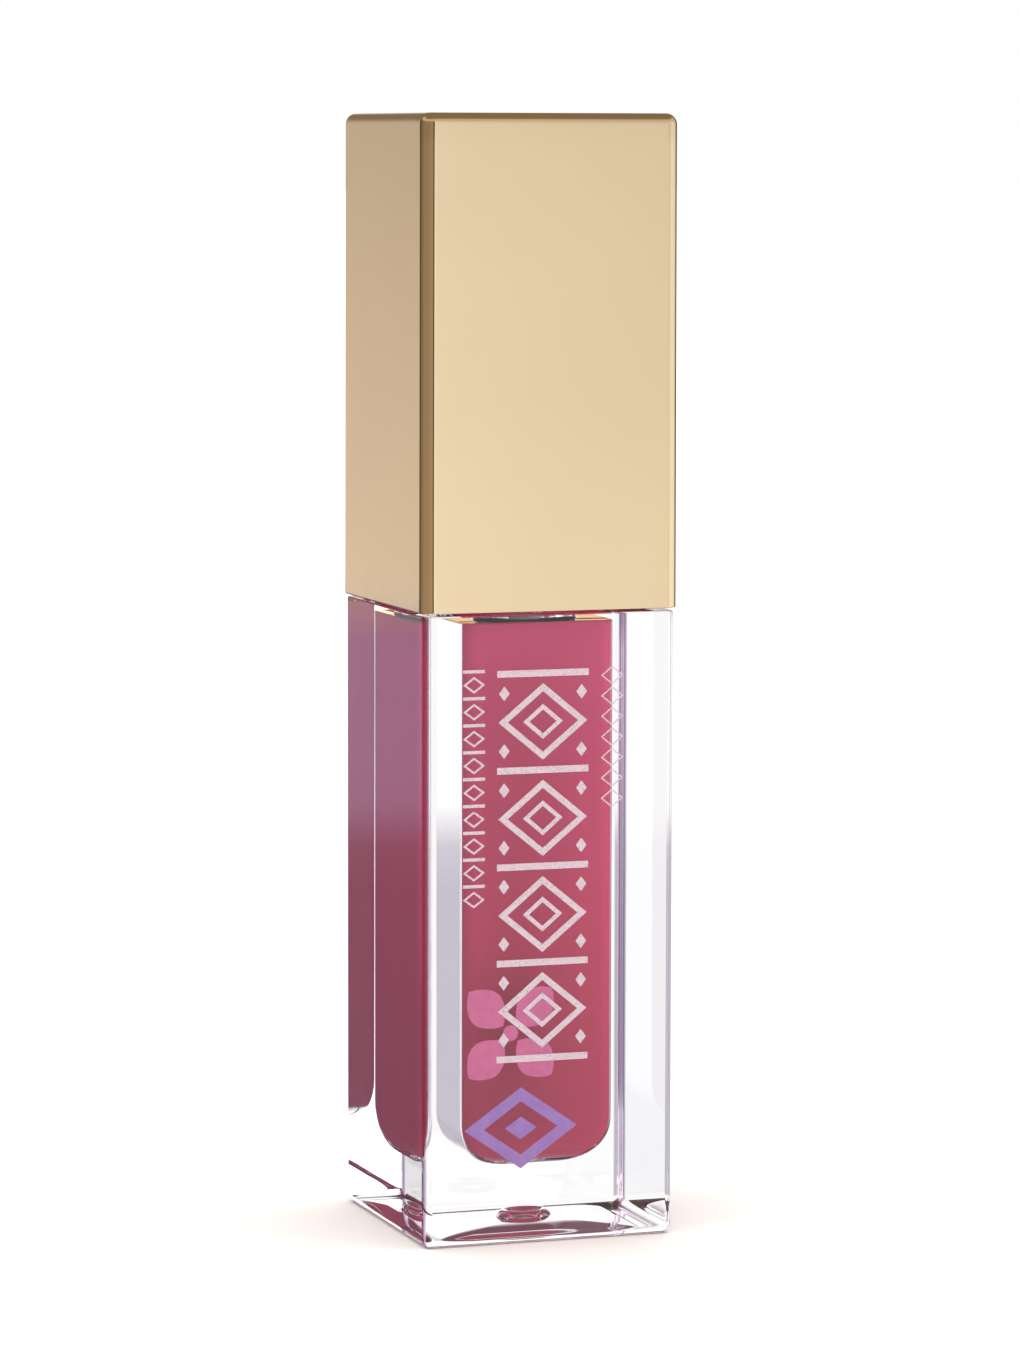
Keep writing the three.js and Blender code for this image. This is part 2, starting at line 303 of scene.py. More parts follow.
def ring_skin(name, loops):
    """A ring-shaped skin as an object."""
    return mesh_piece(name, *ring_faces(loops))


# ---- Node helpers ----


def new_material(name):
    made = bpy.data.materials.new(name)
    made.use_nodes = True
    return made, made.node_tree, made.node_tree.nodes["Principled BSDF"]


def connect(tree, value, socket):
    """Links a socket's value into another, or sets it where it is a plain number or colour."""
    if isinstance(value, bpy.types.NodeSocket):
        tree.links.new(value, socket)
    else:
        socket.default_value = value


def calc(tree, operation, *values):
    node = tree.nodes.new("ShaderNodeMath")
    node.operation = operation
    for value, socket in zip(values, node.inputs):
        connect(tree, value, socket)
    return node.outputs[0]


def mapped(tree, value, low, high, to_low, to_high, smooth=False):
    """A value carried from the range low to high over to the range to_low to to_high, and held within it."""
    node = tree.nodes.new("ShaderNodeMapRange")
    node.interpolation_type = "SMOOTHSTEP" if smooth else "LINEAR"
    for place, item in enumerate((value, low, high, to_low, to_high)):
        connect(tree, item, node.inputs[place])
    return node.outputs["Result"]


def mix_colour(tree, factor, first, second, kind="MIX"):
    node = tree.nodes.new("ShaderNodeMix")
    node.data_type = "RGBA"
    node.blend_type = kind
    connect(tree, factor, node.inputs["Factor"])
    for value, name in ((first, "A"), (second, "B")):
        socket = [item for item in node.inputs if item.name == name and item.type == "RGBA"][0]
        connect(tree, value if isinstance(value, bpy.types.NodeSocket) else (*value, 1), socket)
    return [item for item in node.outputs if item.type == "RGBA"][0]


def ramp(tree, value, stops):
    """A colour from a value through (position, colour) stops; a plain number is a grey."""
    node = tree.nodes.new("ShaderNodeValToRGB")
    elements = node.color_ramp.elements
    while len(elements) < len(stops):
        elements.new(0.5)
    for element, (position, colour) in zip(elements, stops):
        grey = isinstance(colour, (int, float))
        element.position = position
        element.color = (colour, colour, colour, 1) if grey else (*colour, 1)
    connect(tree, value, node.inputs["Fac"])
    return node.outputs["Color"]


def object_place(tree):
    return tree.nodes.new("ShaderNodeTexCoord").outputs["Object"]


def object_height(tree):
    split = tree.nodes.new("ShaderNodeSeparateXYZ")
    connect(tree, object_place(tree), split.inputs["Vector"])
    return split.outputs["Z"]


def noise(tree, size, detail=3.0, stretch=(1, 1, 1)):
    """A noise value over the object, whose features are about size metres across."""
    mapping = tree.nodes.new("ShaderNodeMapping")
    mapping.inputs["Scale"].default_value = stretch
    connect(tree, object_place(tree), mapping.inputs["Vector"])
    texture = tree.nodes.new("ShaderNodeTexNoise")
    texture.inputs["Scale"].default_value = 1 / size
    texture.inputs["Detail"].default_value = detail
    connect(tree, mapping.outputs["Vector"], texture.inputs["Vector"])
    return texture.outputs["Fac"]


def bump(tree, shader, height, strength, distance):
    node = tree.nodes.new("ShaderNodeBump")
    node.inputs["Strength"].default_value = strength
    node.inputs["Distance"].default_value = distance
    connect(tree, height, node.inputs["Height"])
    connect(tree, node.outputs["Normal"], shader.inputs["Normal"])


def srgb(code):
    """The linear colour of a six-digit screen colour."""
    values = [int(code[i:i + 2], 16) / 255 for i in (0, 2, 4)]
    return tuple(v / 12.92 if v <= 0.04045 else ((v + 0.055) / 1.055) ** 2.4 for v in values)


# ---- Materials ----

PLASTIC_IOR = 1.57
GLOSS_IOR = 1.46


def clear_plastic():
    """Thick polished copolyester, with the slight unevenness that moulding leaves."""
    made, tree, shader = new_material("clear_plastic")
    shader.inputs["Base Color"].default_value = (0.985, 0.98, 0.99, 1)
    shader.inputs["Roughness"].default_value = 0.0
    shader.inputs["IOR"].default_value = PLASTIC_IOR
    shader.inputs["Transmission Weight"].default_value = 1.0
    bump(tree, shader, noise(tree, 5 * MM, 1.0, (1, 1, 0.5)), 0.12, 0.05 * MM)
    return made


def pink_gloss():
    """Creamy opaque gloss, streaked at random and darkened towards the bottom by painted shade. Seen through
    the wall, its wet face mirrors at grazing angles.

    Near its roof the wet face's mirror is tinted gold, a painted reflection of the inner cap above it."""
    made, tree, shader = new_material("pink_gloss")
    # Painted shade: the colour runs from a darker wine at the cavity's floor to a lighter one at its roof,
    # for the lower gloss getting less light; the streaks add random variation
    height = mapped(tree, object_height(tree), CAVITY_FLOOR, CAVITY_ROOF, 0.0, 1.0)
    streaks = noise(tree, 4 * MM, 4.0, (1, 1, 0.3))
    level = calc(tree, "MULTIPLY_ADD", streaks, 0.14, height)
    deep = (0.05, (0.50, 0.045, 0.105))
    middle = (0.55, (0.68, 0.065, 0.160))
    light = (1.0, (0.76, 0.090, 0.215))
    colour = ramp(tree, level, [deep, middle, light])
    connect(tree, colour, shader.inputs["Base Color"])
    shader.inputs["Roughness"].default_value = 0.4
    shader.inputs["Specular IOR Level"].default_value = 0.0
    wet = tree.nodes.new("ShaderNodeBsdfGlossy")
    wet.inputs["Roughness"].default_value = 0.0
    # Painted reflection: within the top 0.12 mm below the roof the mirror's colour turns gold, for the inner
    # cap that it would mirror; elsewhere it is near white
    roof = mapped(tree, object_height(tree), CAVITY_ROOF - 0.12 * MM, CAVITY_ROOF - 0.04 * MM, 0.0, 1.0)
    wet_tint_with_painted_gold_reflection = mix_colour(tree, roof, (0.97, 0.96, 0.98), (0.93, 0.58, 0.30))
    connect(tree, wet_tint_with_painted_gold_reflection, wet.inputs["Color"])
    fresnel = tree.nodes.new("ShaderNodeFresnel")
    fresnel.inputs["IOR"].default_value = GLOSS_IOR / PLASTIC_IOR
    mix = tree.nodes.new("ShaderNodeMixShader")
    connect(tree, fresnel.outputs["Fac"], mix.inputs["Fac"])
    connect(tree, shader.outputs["BSDF"], mix.inputs[1])
    connect(tree, wet.outputs["BSDF"], mix.inputs[2])
    connect(tree, mix.outputs["Shader"], tree.nodes["Material Output"].inputs["Surface"])
    return made


def gold_plating():
    made, tree, shader = new_material("gold_plating")
    tint = ramp(tree, noise(tree, 15 * MM, 2.0), [(0.3, (0.76, 0.60, 0.385)), (0.7, (0.79, 0.63, 0.405))])
    connect(tree, tint, shader.inputs["Base Color"])
    shader.inputs["Metallic"].default_value = 1.0
    rough = mapped(tree, noise(tree, 1.2 * MM), 0.3, 0.7, 0.06, 0.09)
    connect(tree, rough, shader.inputs["Roughness"])
    bump(tree, shader, noise(tree, 3 * MM, 1.0), 0.06, 0.02 * MM)
    return made


def moulded(name, dark, light, roughness, metallic=0.0):
    """A moulded plastic: a faint cloudiness, uneven polish and a fine grain."""
    made, tree, shader = new_material(name)
    connect(tree, ramp(tree, noise(tree, 3 * MM), [(0.3, dark), (0.7, light)]), shader.inputs["Base Color"])
    polish = mapped(tree, noise(tree, 0.8 * MM), 0.3, 0.7, roughness - 0.06, roughness + 0.06)
    connect(tree, polish, shader.inputs["Roughness"])
    shader.inputs["Metallic"].default_value = metallic
    bump(tree, shader, noise(tree, 0.25 * MM, 2.0), 0.25, 0.01 * MM)
    return made


def washer_foam():
    """Closed-cell foam: small cells between pale walls."""
    made, tree, shader = new_material("washer_foam")
    cells = tree.nodes.new("ShaderNodeTexVoronoi")
    cells.inputs["Scale"].default_value = 1 / (0.16 * MM)
    connect(tree, object_place(tree), cells.inputs["Vector"])
    shade = ramp(tree, cells.outputs["Distance"], [(0.0, (0.50, 0.48, 0.46)), (0.6, (0.74, 0.72, 0.70))])
    connect(tree, shade, shader.inputs["Base Color"])
    shader.inputs["Roughness"].default_value = 0.85
    bump(tree, shader, cells.outputs["Distance"], 0.6, 0.03 * MM)
    return made


def flock_fibre():
    """Short nylon fibres, stained pink by the gloss towards the tip."""
    made, tree, shader = new_material("flock_fibre")
    stain = mapped(tree, object_height(tree), FLOCK_LOW[2], FLOCK_HIGH[2], 1.0, 0.0, True)
    mottled = calc(tree, "MULTIPLY", stain, mapped(tree, noise(tree, 0.7 * MM), 0.3, 0.7, 0.75, 1.0))
    clean = (0.0, (0.80, 0.66, 0.68))
    stained = (0.5, (0.66, 0.24, 0.33))
    soaked = (1.0, (0.52, 0.11, 0.19))
    colour = ramp(tree, mottled, [clean, stained, soaked])
    connect(tree, colour, shader.inputs["Base Color"])
    shader.inputs["Roughness"].default_value = 0.8
    shader.inputs["Sheen Weight"].default_value = 0.4
    bump(tree, shader, noise(tree, 0.09 * MM, 2.0), 0.6, 0.04 * MM)
    return made


def silver_foil():
    """Hot-stamped foil, broken by fine dull grains."""
    made, tree, shader = new_material("silver_foil")
    grain = noise(tree, 0.09 * MM, 1.0)
    stops = [(0.30, (0.42, 0.32, 0.40)), (0.40, (0.68, 0.55, 0.64)), (0.75, (0.75, 0.66, 0.73))]
    connect(tree, ramp(tree, grain, stops), shader.inputs["Base Color"])
    shader.inputs["Metallic"].default_value = 0.25
    connect(tree, mapped(tree, grain, 0.3, 0.7, 0.5, 0.3), shader.inputs["Roughness"])
    bump(tree, shader, grain, 0.3, 0.01 * MM)
    return made


def printed_ink(name, dark, light):
    made, tree, shader = new_material(name)
    connect(tree, ramp(tree, noise(tree, 0.9 * MM), [(0.3, dark), (0.7, light)]), shader.inputs["Base Color"])
    shader.inputs["Roughness"].default_value = 0.35
    bump(tree, shader, noise(tree, 0.2 * MM, 2.0), 0.15, 0.005 * MM)
    return made


# ---- Bottle and contents ----


def settle(piece, material, body, node=None):
    """Gives a piece its material and the body it rides on, and hides the CAD node that it stands for."""
    piece.data.materials.append(material)
    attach(piece, body)
    if node:
        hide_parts(node)
    return piece


def base_loops():
    """From the middle of the base, over the moulding's gate mark and the dish, to the flat rim.

    The gate mark is a round-bottomed moat about a small island. The dish grows rounder towards its middle,
    and its rim is kept crisp by close loops."""
    loops = [round_loop(radius * MM, DISH_DEPTH + ISLAND_LIFT) for radius in (0.3, 0.7, 1.05)]
    moat = GATE_RADIUS - GATE_ISLAND
    steps = 10
    for step in range(1, steps + 1):
        share = step / steps
        deep = GATE_DEPTH * math.sin(share * math.pi) ** 0.7
        loops.append(round_loop(GATE_ISLAND + moat * share, DISH_DEPTH + deep + ISLAND_LIFT * (1 - share)))
    steps = 20
    first = 4
    for step in range(first, steps + 1):
        angle = step / steps * TURN / 4
        share = math.sin(angle)
        width = DISH_WIDTH * share
        height = DISH_DEPTH * math.cos(angle)
        if step == first:
            loops.append(round_loop(width / 2, height))
        else:
            edge = max(DISH_EDGE * share, (DISH_ROUNDING - share) * width)
            loops.append(square_loop(width, edge, height))
    loops.append(square_loop(DISH_WIDTH + 0.1 * MM, DISH_EDGE, 0))
    return loops


def bottle_outside():
    loops = base_loops()
    loops += rim_loops(2 * FACE, BOTTLE_EDGE, 0, BASE_RADIUS, True)
    loops += wall_loops(2 * FACE, 2 * FACE, BOTTLE_EDGE, BASE_RADIUS, SHOULDER - SHOULDER_RADIUS, 12)
    loops += rim_loops(2 * FACE, BOTTLE_EDGE, SHOULDER, SHOULDER_RADIUS, False)[::-1]
    return loops


def neck_loops():
    """From the shoulder up the threaded neck, over its lip and down its bore to the cavity's roof."""
    root = profile_loops([
        (6.4 * MM, SHOULDER, 0),
        (NECK_RADIUS, SHOULDER, 0.4 * MM),
        (NECK_RADIUS, SHOULDER + 1 * MM, 0),
    ])
    thread = thread_loops(NECK_RADIUS, THREAD_DEPTH, SHOULDER + 1.1 * MM, NECK_TOP - 1.2 * MM, THREAD_START)
    lip = profile_loops([
        (NECK_RADIUS, NECK_TOP - 1.1 * MM, 0),
        (NECK_RADIUS, NECK_TOP, 0.3 * MM),
        (BORE_RADIUS, NECK_TOP, 0.15 * MM),
        (BORE_RADIUS, CAVITY_ROOF, 0.3 * MM),
        (BORE_RADIUS + 1.0 * MM, CAVITY_ROOF, 0),
    ])
    return root + thread + lip


def cavity_loops(grow):
    """From the cavity's roof down its walls to the middle of its floor. Grow moves the walls outward."""
    width = CAVITY_WIDTH + 2 * grow
    edge = CAVITY_EDGE + grow
    roof_radius = 0.15 * MM
    roof = CAVITY_ROOF + grow
    floor = CAVITY_FLOOR - grow
    loops = rim_loops(width, edge, roof, roof_radius, False)
    loops += wall_loops(width, width, edge, roof - roof_radius, floor + CAVITY_FLOOR_RADIUS, 12)
    steps = 18
    for step in range(steps + 1):
        angle = step / steps * TURN / 4
        inset = CAVITY_FLOOR_RADIUS * (1 - math.cos(angle))
        height = floor + CAVITY_FLOOR_RADIUS * (1 - math.sin(angle))
        loops.append(square_loop(width - 2 * inset, edge, height))
    return loops


def build_bottle(clear):
    loops = bottle_outside() + neck_loops() + cavity_loops(0.0)
    settle(skin("bottle_clear", loops), clear, "bottle", "bottle")


def build_gloss(pink):
    """The gloss wets the wall all round, and the wand stands in a channel in it."""
    bottom = FLOCK_LOW[2] - 0.5 * MM
    channel = profile_loops([
        (CHANNEL_RADIUS + 1.0 * MM, CAVITY_ROOF + WET, 0),
        (CHANNEL_RADIUS, CAVITY_ROOF + WET, 0.4 * MM),
        (CHANNEL_RADIUS, bottom, 0.8 * MM),
        (0.3 * MM, bottom, 0),
    ])
    loops = cavity_loops(WET)[::-1] + channel
    settle(skin("gloss_contents", loops), pink, "bottle", "gloss_fill")


def build_wiper(plastic):
    """A stepped sleeve with a flange on the neck and a thin lip that wipes the stem."""
    flange = 4.75 * MM
    outer = BORE_RADIUS - SEAT_GAP
    under = NECK_TOP + SEAT_GAP
    top = WIPER_HIGH[2]
    bottom = WIPER_LOW[2]
    lip = 1.95 * MM
    bore = 3.1 * MM
    loops = profile_loops([
        (lip, bottom, 0),
        (lip + 0.45 * MM, bottom, 0.12 * MM),
        (outer, bottom + 1.8 * MM, 0.3 * MM),
        (outer, under, 0.1 * MM),
        (flange, under, 0.1 * MM),
        (flange, top, 0.2 * MM),
        (bore + 0.3 * MM, top, 0.15 * MM),
        (bore, top - 0.3 * MM, 0.15 * MM),
        (bore, bottom + 2.4 * MM, 0.4 * MM),
        (lip, bottom + 0.6 * MM, 0.15 * MM),
    ])
    settle(ring_skin("wiper_sleeve", loops), plastic, "wiper", "wiper")


# ---- Cap ----


def build_shell(gold):
    """The tall square shell: open below, its top edges rounded, its corners eased into the faces."""
    roof = SHELL_TOP - SHELL_ROOF
    inner_edge = 0.5 * MM
    rim = SHELL_MOUTH_RADIUS
    above_rim = SHELL_MOUTH + rim
    soft = SOFT_CORNER
    loops = [round_loop(1 * MM, roof), round_loop(4 * MM, roof)]
    loops += rim_loops(HOLLOW_WIDTH, inner_edge, roof, inner_edge, False)
    loops += wall_loops(HOLLOW_WIDTH, HOLLOW_WIDTH, inner_edge, roof - inner_edge, above_rim, 12)
    loops += rim_loops(HOLLOW_WIDTH + 2 * rim, inner_edge, SHELL_MOUTH, rim, True)[::-1][1:]
    loops += rim_loops(MOUTH_WIDTH, SHELL_EDGE, SHELL_MOUTH, rim, True, soft)
    loops += wall_loops(MOUTH_WIDTH, TOP_WIDTH, SHELL_EDGE, above_rim, SHELL_TOP - TOP_RADIUS, 20, soft)
    loops += rim_loops(TOP_WIDTH, SHELL_EDGE, SHELL_TOP, TOP_RADIUS, False, soft)[::-1]
    loops += [square_loop(TOP_WIDTH - 5 * MM, SHELL_EDGE, SHELL_TOP), round_loop(3 * MM, SHELL_TOP)]
    settle(skin("cap_outer_shell", loops), gold, "cap", "cap_shell")


def build_insert(plastic):
    """The inner cap: a flange in the shell's mouth, a threaded cup, and a socket for the wand."""
    flange = HOLLOW_WIDTH - 0.1 * MM
    low = INSERT_LOW[2]
    flange_top = low + 0.9 * MM
    flange_edge = 0.5 * MM
    flange_rim = 0.12 * MM
    cup = INSERT_BORE + 0.9 * MM
    socket = ROD_RADIUS + 1.25 * MM
    hole = ROD_RADIUS + SEAT_GAP
    hole_top = ROD_HIGH[2] + SEAT_GAP
    flank = BEAD_FLANK + SEAT_GAP
    start = THREAD_START - THREAD_PITCH / 2 + 0.5 * MM
    loops = profile_loops([
        (0.2 * MM, hole_top, 0),
        (hole, hole_top, 0.1 * MM),
        (hole, BEAD_MIDDLE + flank, 0.1 * MM),
        (BEAD_RADIUS + SEAT_GAP, BEAD_MIDDLE, 0.1 * MM),
        (hole, BEAD_MIDDLE - flank, 0.1 * MM),
        (hole, INSERT_ROOF, 0.15 * MM),
        (INSERT_BORE, INSERT_ROOF, 0.3 * MM),
        (INSERT_BORE, INSERT_ROOF - 0.9 * MM, 0),
    ])
    loops += thread_loops(INSERT_BORE, -THREAD_DEPTH, INSERT_ROOF - 1.0 * MM, low + 0.4 * MM, start)
    loops.append(round_loop(INSERT_BORE + 0.25 * MM, low))
    loops += rim_loops(flange, flange_edge, low, flange_rim, True)
    loops += rim_loops(flange, flange_edge, flange_top, flange_rim, False)[::-1]
    loops += profile_loops([
        (cup + 0.6 * MM, flange_top, 0),
        (cup, flange_top, 0.3 * MM),
        (cup, SOCKET_FLOOR, 0.4 * MM),
        (socket, SOCKET_FLOOR, 0.4 * MM),
        (socket, INSERT_HIGH[2], 0.3 * MM),
        (0.3 * MM, INSERT_HIGH[2], 0),
    ])
    settle(skin("inner_cap", loops), plastic, "cap", "cap_insert")


def build_washer(foam):
    inner = 2.2 * MM
    outer = 6.3 * MM
    low = WASHER_LOW[2]
    high = WASHER_HIGH[2]
    loops = profile_loops([
        (inner + 0.4 * MM, low, 0),
        (outer, low, 0.18 * MM),
        (outer, high, 0.18 * MM),
        (inner, high, 0.12 * MM),
        (inner, low, 0.12 * MM),
        (inner + 0.3 * MM, low, 0),
    ])
    settle(ring_skin("neck_seal", loops), foam, "washer", "seal_washer")


# ---- Wand ----


def build_rod(plastic):
    """The stem: held in its socket by a bead, and bored below for the applicator's plug."""
    low = ROD_LOW[2]
    high = ROD_HIGH[2]
    hole = PLUG_RADIUS + SEAT_GAP
    hole_top = low + 5.65 * MM
    loops = profile_loops([
        (0.2 * MM, hole_top, 0),
        (hole, hole_top, 0.1 * MM),
        (hole, low, 0.1 * MM),
        (ROD_RADIUS, low, 0.3 * MM),
        (ROD_RADIUS, BEAD_MIDDLE - BEAD_FLANK, 0.15 * MM),
        (BEAD_RADIUS, BEAD_MIDDLE, 0.15 * MM),
        (ROD_RADIUS, BEAD_MIDDLE + BEAD_FLANK, 0.15 * MM),
        (ROD_RADIUS, high, 0.35 * MM),
        (0.3 * MM, high, 0),
    ])
    settle(skin("wand_stem", loops), plastic, "cap", "wand_rod")


def foot_loops(skin_depth, top):
    """The slanted foot from its tip up to height top, its surface skin_depth outside the core's.

    It is round near the top, thins and leans to one side below, and its end is rounded."""
    round_stretch = 0.15
    end_stretch = 0.18
    core_tip = FLOCK_LOW[2] + FLOCK_DEPTH
    tip = core_tip - skin_depth
    angles = [loop_angle(i) for i in range(LOOP)]
    steps = 30
    loops = []
    for step in range(steps + 1):
        share = 1 - step / steps
        slant = eased((share - round_stretch) / (1 - round_stretch))
        past = max(0.0, (share - (1 - end_stretch)) / end_stretch)
        nose = math.sqrt(max(0.01, 1 - past * past))
        outside = skin_depth * max(nose, 0.5)
        wide = FOOT_RADIUS * nose + outside
        deep = (FOOT_RADIUS + (FOOT_TIP_DEPTH - FOOT_RADIUS) * slant) * nose + outside
        shift = FOOT_SLANT * slant
        z = top + (tip - top) * share
        outline = [(wide * math.cos(angle), shift + deep * math.sin(angle)) for angle in angles]
        loops.append([Vector((x, y, z)) for x, y in outline])
    return loops


def build_applicator_core(plastic):
    top = ROD_LOW[2] - SEAT_GAP
    plug = profile_loops([
        (PLUG_RADIUS + 0.3 * MM, top, 0),
        (PLUG_RADIUS, top, 0.1 * MM),
        (PLUG_RADIUS, CORE_HIGH[2], 0.15 * MM),
        (0.2 * MM, CORE_HIGH[2], 0),
    ])
    loops = foot_loops(0.0, top) + plug
    settle(skin("applicator_foot", loops), plastic, "cap", "applicator_core")


def spike(points, faces, root, outward, length, width):
    """Adds a thin three-sided fibre, whose foot is an even triangle, to the points and faces."""
    side = outward.orthogonal().normalized() * width
    across = outward.cross(side).normalized() * width
    first = len(points)
    points += [root + side, root - side * 0.5 + across * 0.87, root - side * 0.5 - across * 0.87]
    points.append(root + outward * length)
    faces += [(first, first + 2, first + 1)]
    faces += [(first, first + 1, first + 3), (first + 1, first + 2, first + 3), (first + 2, first, first + 3)]


def build_flock(fibre):
    """A sleeve of flock round the foot, and the fibres that stand out of it."""
    top = FLOCK_HIGH[2]
    pile = 0.17 * MM
    fibre_width = 0.018 * MM
    root_depth = 0.02 * MM
    lean_limit = 0.35
    outside = foot_loops(FLOCK_DEPTH - pile, top)
    inside = foot_loops(SEAT_GAP, top)[::-1]
    points, faces = skin_faces(outside + inside)
    seeded = random.Random(7)
    rows = outside[3:-1]
    for _ in range(FIBRES):
        row = seeded.randrange(len(rows) - 1)
        i = seeded.randrange(LOOP)
        share = seeded.random()
        here = rows[row][i].lerp(rows[row + 1][i], share)
        along = rows[row + 1][i] - rows[row][i]
        round_it = rows[row][(i + 1) % LOOP] - rows[row][i - 1]
        outward = round_it.cross(along).normalized()
        lean = Vector([seeded.uniform(-lean_limit, lean_limit) for _ in range(3)])
        root = here - outward * root_depth
        spike(points, faces, root, (outward + lean).normalized(), pile, fibre_width)
    settle(mesh_piece("applicator_pile", points, faces), fibre, "cap", "applicator_flock")


# ---- Ornament printed on the bottle's front ----

PRINT_DEPTH = 0.015 * MM
INK_LIFT = 0.005 * MM
FOIL_LIFT = INK_LIFT + PRINT_DEPTH + 0.003 * MM  # the foil is stamped over the inks


class Print:
    """Flat shapes on the bottle's front face, gathered into one thin closed mesh each."""

    def __init__(self, lift):
        self.lift = lift
        self.points = []
        self.faces = []

    def lay(self, outline):
        """Adds an outline's points at the print's front, then at its back."""
        for y in (-FACE - self.lift - PRINT_DEPTH, -FACE - self.lift):
            for x, z in outline:
                self.points.append(Vector((x, y, z)))

    def band(self, outer, inner):
        """A flat ring between two outlines with as many points, both anticlockwise seen from the front."""
        count = len(outer)
        first = len(self.points)
        self.lay(outer + inner)
        hole = first + count
        back = hole + count
        back_hole = back + count
        for i in range(count):
            after = (i + 1) % count
            self.faces.append((first + i, first + after, hole + after, hole + i))
            self.faces.append((back + i, back_hole + i, back_hole + after, back + after))
            self.faces.append((first + i, back + i, back + after, first + after))
            self.faces.append((hole + i, hole + after, back_hole + after, back_hole + i))

    def plate(self, outline):
        """A filled outline, anticlockwise seen from the front."""
        count = len(outline)
        first = len(self.points)
        self.lay(outline)
        back = first + count
        self.faces.append(tuple(range(first, first + count)))
        self.faces.append(tuple(range(back + count - 1, back - 1, -1)))
        for i in range(count):
            after = (i + 1) % count
            self.faces.append((first + i, back + i, back + after, first + after))

    def finish(self, name, ink):
        settle(mesh_piece(name, self.points, self.faces), ink, "bottle")


def polygon(x, z, half_width, half_height, sides=4):
    """A polygon round a middle. Four sides give a diamond, and many a circle or an oval."""
    corners = []
    for i in range(sides):
        angle = i / sides * TURN
        corners.append((x + half_width * math.cos(angle), z + half_height * math.sin(angle)))
    return corners


def bar(x, z, half_width, half_height):
    left = x - half_width
    right = x + half_width
    low = z - half_height
    high = z + half_height
    return [(left, low), (right, low), (right, high), (left, high)]


def diamond_ring(ink, x, z, half_width, half_height, stroke):
    """An outlined diamond. Its points move in further than its sides, which keeps the stroke's width."""
    point_share = 1.45
    inset = stroke * point_share
    outer = polygon(x, z, half_width, half_height)
    inner = polygon(x, z, half_width - inset, half_height - inset * (half_height / half_width))
    ink.band(outer, inner)


def build_silver(foil):
    """Three upright runs of diamonds, dots and bars: a broad one, and a finer one on each side."""
    ink = Print(FOIL_LIFT)
    middle = -0.62 * MM
    reach = 3.57 * MM
    low, high = 13.7 * MM, 42.9 * MM
    units = 4
    pitch = (high - low - 0.5 * MM) / units
    stroke = 0.25 * MM
    for unit in range(units + 1):
        z = low + stroke + unit * pitch
        ink.plate(bar(middle, z, reach, stroke))
        if unit == units:
            break
        centre = z + pitch / 2
        diamond_ring(ink, middle, centre, reach - 0.1 * MM, pitch / 2 - 0.75 * MM, 0.5 * MM)
        diamond_ring(ink, middle, centre, 1.55 * MM, 1.30 * MM, 0.34 * MM)
        for side in (-1, 1):
            for end in (-1, 1):
                outer = middle + side * (reach - 0.55 * MM)
                ink.plate(polygon(outer, centre + end * (pitch / 2 - 1.45 * MM), 0.42 * MM, 0.55 * MM))
    left = -5.98 * MM
    left_low = 25.0 * MM
    links = 9
    step = (high - left_low) / links
    for link in range(links):
        z = left_low + (link + 0.5) * step
        diamond_ring(ink, left, z, 0.85 * MM, 0.62 * MM, 0.17 * MM)
        ink.plate(bar(left, z + step / 2, 0.85 * MM, 0.12 * MM))
    right = 4.80 * MM
    right_low = 32.4 * MM
    right_high = 43.1 * MM
    links = 7
    step = (right_high - right_low) / links
    for link in range(links):
        z = right_low + (link + 0.5) * step
        diamond_ring(ink, right, z, 0.88 * MM, step / 2 - 0.06 * MM, 0.11 * MM)
    ink.finish("front_silver_print", foil)


def petal(x, z, angle, start, length, width):
    """A pointed leaf that begins start away from the middle (x, z)."""
    outline = []
    steps = 14
    turned = [(step / steps, 1) for step in range(steps)] + [(1 - step / steps, -1) for step in range(steps)]
    for share, side in turned:
        along = start + length * share
        across = side * width / 2 * math.sin(share * math.pi) ** 0.8
        outline.append((
            x + along * math.cos(angle) + across * math.sin(angle),
            z + along * math.sin(angle) - across * math.cos(angle),
        ))
    return outline


def build_pink_print(ink_material):
    """A four-leaved rosette round a dot."""
    ink = Print(INK_LIFT)
    x, z = -3.1 * MM, 15.9 * MM
    for leaf in range(4):
        ink.plate(petal(x, z, TURN / 8 + leaf * TURN / 4, 0.8 * MM, 3.8 * MM, 2.9 * MM))
    ink.plate(polygon(x, z, 0.6 * MM, 0.6 * MM, 24))
    ink.finish("front_pink_print", ink_material)


def build_lavender_print(ink_material):
    """A broad diamond with a smaller one inside it."""
    ink = Print(INK_LIFT)
    x, z = -2.28 * MM, 8.75 * MM
    diamond_ring(ink, x, z, 4.42 * MM, 3.05 * MM, 1.05 * MM)
    ink.plate(polygon(x, z, 1.25 * MM, 0.86 * MM))
    ink.finish("front_lavender_print", ink_material)


# ---- Camera, floor and light ----

AZIMUTH = math.radians(-18.92)
TILT = math.radians(5.836)
ROLL = math.radians(0.124)
CAMERA_DISTANCE = 0.3967
CAMERA_HEIGHT = 0.0817
CAMERA_SIDESTEP = 0.00016
LENS = 139.78
SENSOR_WIDTH = 36.0
FLOOR_REACH = 8.0
FLOOR_MOTTLING = 0.4
SUN_STRENGTH = 3.45
SUN_SPREAD = math.radians(110)


def make_camera():
    data = bpy.data.cameras.new("camera")
    data.lens = LENS
    data.sensor_width = SENSOR_WIDTH
    data.clip_start = 0.01
    data.clip_end = 100.0
    camera = bpy.data.objects.new("camera", data)
    bpy.context.scene.collection.objects.link(camera)
    bpy.context.scene.camera = camera
    facing = Matrix.Rotation(AZIMUTH, 4, "Z")
    level = Matrix.Rotation(TURN / 4 - TILT, 4, "X") @ Matrix.Rotation(ROLL, 4, "Z")
    place = facing @ Vector((CAMERA_SIDESTEP, -CAMERA_DISTANCE, CAMERA_HEIGHT))
    camera.matrix_world = Matrix.Translation(place) @ facing @ level


